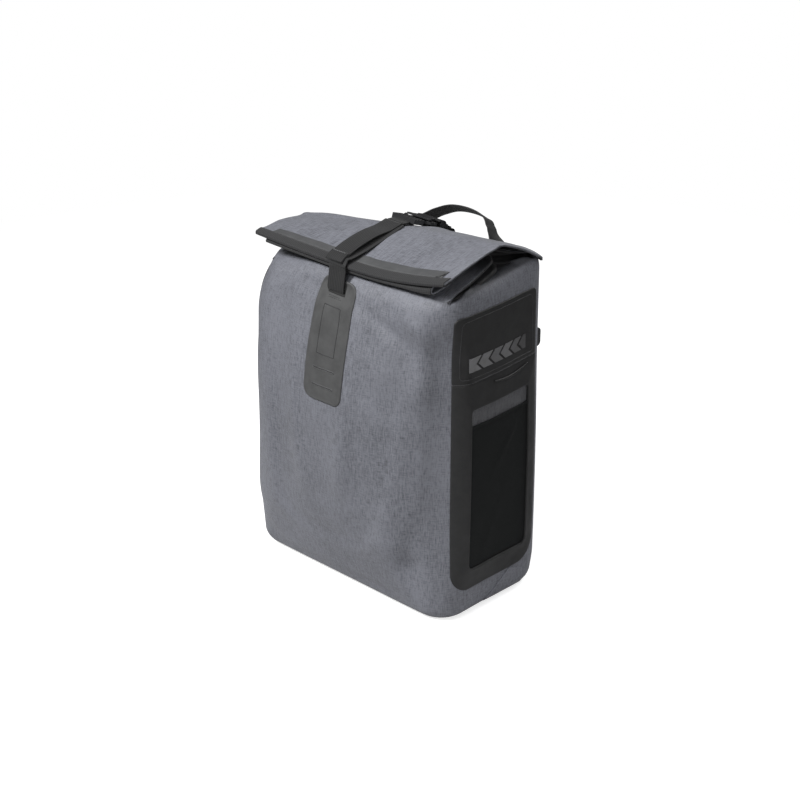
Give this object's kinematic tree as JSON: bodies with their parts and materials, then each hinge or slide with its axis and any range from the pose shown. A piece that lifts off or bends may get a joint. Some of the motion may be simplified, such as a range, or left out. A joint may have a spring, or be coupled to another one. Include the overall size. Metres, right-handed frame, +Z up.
{
  "type": "bicycle pannier bag",
  "caption": "Roll-top pannier bag with a webbing closure strap and side-release buckle, carry handle, mesh side pockets, rail-mounted rack hooks and a swivelling stabiliser.",
  "frame": {"origin": "centre of the underside of the base panel", "axes": "+Z up, +X to the right seen from the front, the front face looks along -Y and the rack side along +Y"},
  "size_m": [0.323, 0.2425, 0.4284],
  "materials": {
    "fabric": "heather grey laminated fabric",
    "sheet_dark": "matt welded sheet",
    "sheet_mid": "matt welded sheet",
    "webbing": "ribbed webbing",
    "stretch": "stretch mesh",
    "plastic": "moulded, slightly glossy",
    "board": "smooth board",
    "alu": "anodised",
    "steel": "zinc plated",
    "reflective": "retroreflective film"
  },
  "bodies": {
    "bag": {"body_wrap": "fabric", "gusset_right": "fabric", "gusset_left": "fabric", "front_lip": "fabric", "back_lip": "fabric", "base_panel": "sheet_dark", "back_panel": "sheet_dark", "side_panel_right": "sheet_dark", "side_panel_left": "sheet_dark", "pocket_frame_right": "sheet_dark", "pocket_frame_left": "sheet_dark", "front_patch": "sheet_mid", "base_board": "board", "back_board": "board", "upper_nut_strip": "alu", "lower_nut_strip": "alu", "upper_rail": "alu", "pocket_mesh_right": "stretch", "pocket_mesh_left": "stretch", "reflector_right": "reflective", "reflector_left": "reflective", "rear_strap": "webbing", "handle_anchor_left": "webbing", "handle_anchor_right": "webbing", "rail_cap_right": "plastic", "rail_cap_left": "plastic", "lower_rail": "plastic", "rail_screw_1": "steel", "rail_screw_2": "steel", "rail_screw_3": "steel", "lower_screw_1": "steel", "lower_screw_2": "steel"},
    "roll": {"roll_outer": "fabric", "roll_inner": "fabric", "batten_upper": "board", "batten_lower": "board", "edge_binding_upper": "webbing", "edge_binding_lower": "webbing"},
    "strap_lower": {"strap_drop": "webbing"},
    "strap_upper": {"closure_strap": "webbing", "strap_tail": "webbing"},
    "male_half": {"buckle_male": "plastic"},
    "prong_right": {"buckle_prong_right": "plastic"},
    "prong_left": {"buckle_prong_left": "plastic"},
    "female_half": {"buckle_female": "plastic", "rear_strap_loop": "webbing"},
    "handle": {"carry_handle": "webbing"},
    "right_hook": {"hook_right": "plastic", "latch_pin_right": "steel", "latch_spring_right": "steel", "clamp_screw_right": "steel"},
    "left_hook": {"hook_left": "plastic", "latch_pin_left": "steel", "latch_spring_left": "steel", "clamp_screw_left": "steel"},
    "right_latch": {"latch_right": "plastic"},
    "left_latch": {"latch_left": "plastic"},
    "slider": {"stabiliser_slider": "plastic", "stabiliser_bolt": "steel"},
    "fin": {"stabiliser_arm": "plastic"}
  },
  "joints": [
    {"name": "roll_open", "type": "hinge", "parent": "bag", "child": "roll", "pos_m": [0, 0.008, 0.42], "axis": [-1, 0, 0], "range_deg": [0, 60]},
    {"name": "strap_swing", "type": "hinge", "parent": "bag", "child": "strap_lower", "pos_m": [0, -0.0996, 0.366], "axis": [1, 0, 0], "range_deg": [0, 165.5]},
    {"name": "strap_fold", "type": "hinge", "parent": "strap_lower", "child": "strap_upper", "pos_m": [0, -0.0936, 0.4037], "axis": [1, 0, 0], "range_deg": [0, 80.5]},
    {"name": "rear_strap_swing", "type": "hinge", "parent": "bag", "child": "female_half", "pos_m": [0, 0.087, 0.389], "axis": [-1, 0, 0], "range_deg": [0, 20.5]},
    {"name": "buckle_release", "type": "slide", "parent": "strap_upper", "child": "male_half", "axis": [0, -0.9423, 0.3348], "range_m": [0, 0.024]},
    {"name": "prong_press", "type": "hinge", "parent": "male_half", "child": "prong_right", "pos_m": [0.009, 0.02875, 0.41868], "axis": [0, 0.3348, 0.9423], "range_deg": [0, 6]},
    {"name": "prong_press_left", "type": "hinge", "parent": "male_half", "child": "prong_left", "pos_m": [-0.009, 0.02875, 0.41868], "axis": [0, 0.3348, 0.9423], "range_deg": [-6.1, 0]},
    {"name": "handle_fold", "type": "hinge", "parent": "bag", "child": "handle", "pos_m": [0, 0.0875, 0.379], "axis": [-1, 0, 0], "range_deg": [0, 80]},
    {"name": "hook_slide_right", "type": "slide", "parent": "bag", "child": "right_hook", "axis": [1, 0, 0], "range_m": [-0.025, 0.025]},
    {"name": "hook_slide_left", "type": "slide", "parent": "bag", "child": "left_hook", "axis": [1, 0, 0], "range_m": [-0.025, 0.025]},
    {"name": "latch_open_right", "type": "hinge", "parent": "right_hook", "child": "right_latch", "pos_m": [0.078, 0.105, 0.296], "axis": [-1, 0, 0], "range_deg": [0, 25], "stiffness_Nm_per_rad": 0.05},
    {"name": "latch_open_left", "type": "hinge", "parent": "left_hook", "child": "left_latch", "pos_m": [-0.078, 0.105, 0.296], "axis": [-1, 0, 0], "range_deg": [0, 25], "stiffness_Nm_per_rad": 0.05},
    {"name": "stabiliser_slide", "type": "slide", "parent": "bag", "child": "slider", "axis": [1, 0, 0], "range_m": [-0.04, 0.04]},
    {"name": "stabiliser_swing", "type": "hinge", "parent": "slider", "child": "fin", "pos_m": [0, 0.098, 0.112], "axis": [0, 1, 0], "range_deg": [-90, 90]}
  ],
  "couplings": [
    {"joint": "strap_swing", "follows": "roll_open", "ratio": 2.75},
    {"joint": "strap_fold", "follows": "roll_open", "ratio": 1.3333},
    {"joint": "rear_strap_swing", "follows": "roll_open", "ratio": 0.3333},
    {"joint": "prong_press_left", "follows": "prong_press", "ratio": -1}
  ]
}
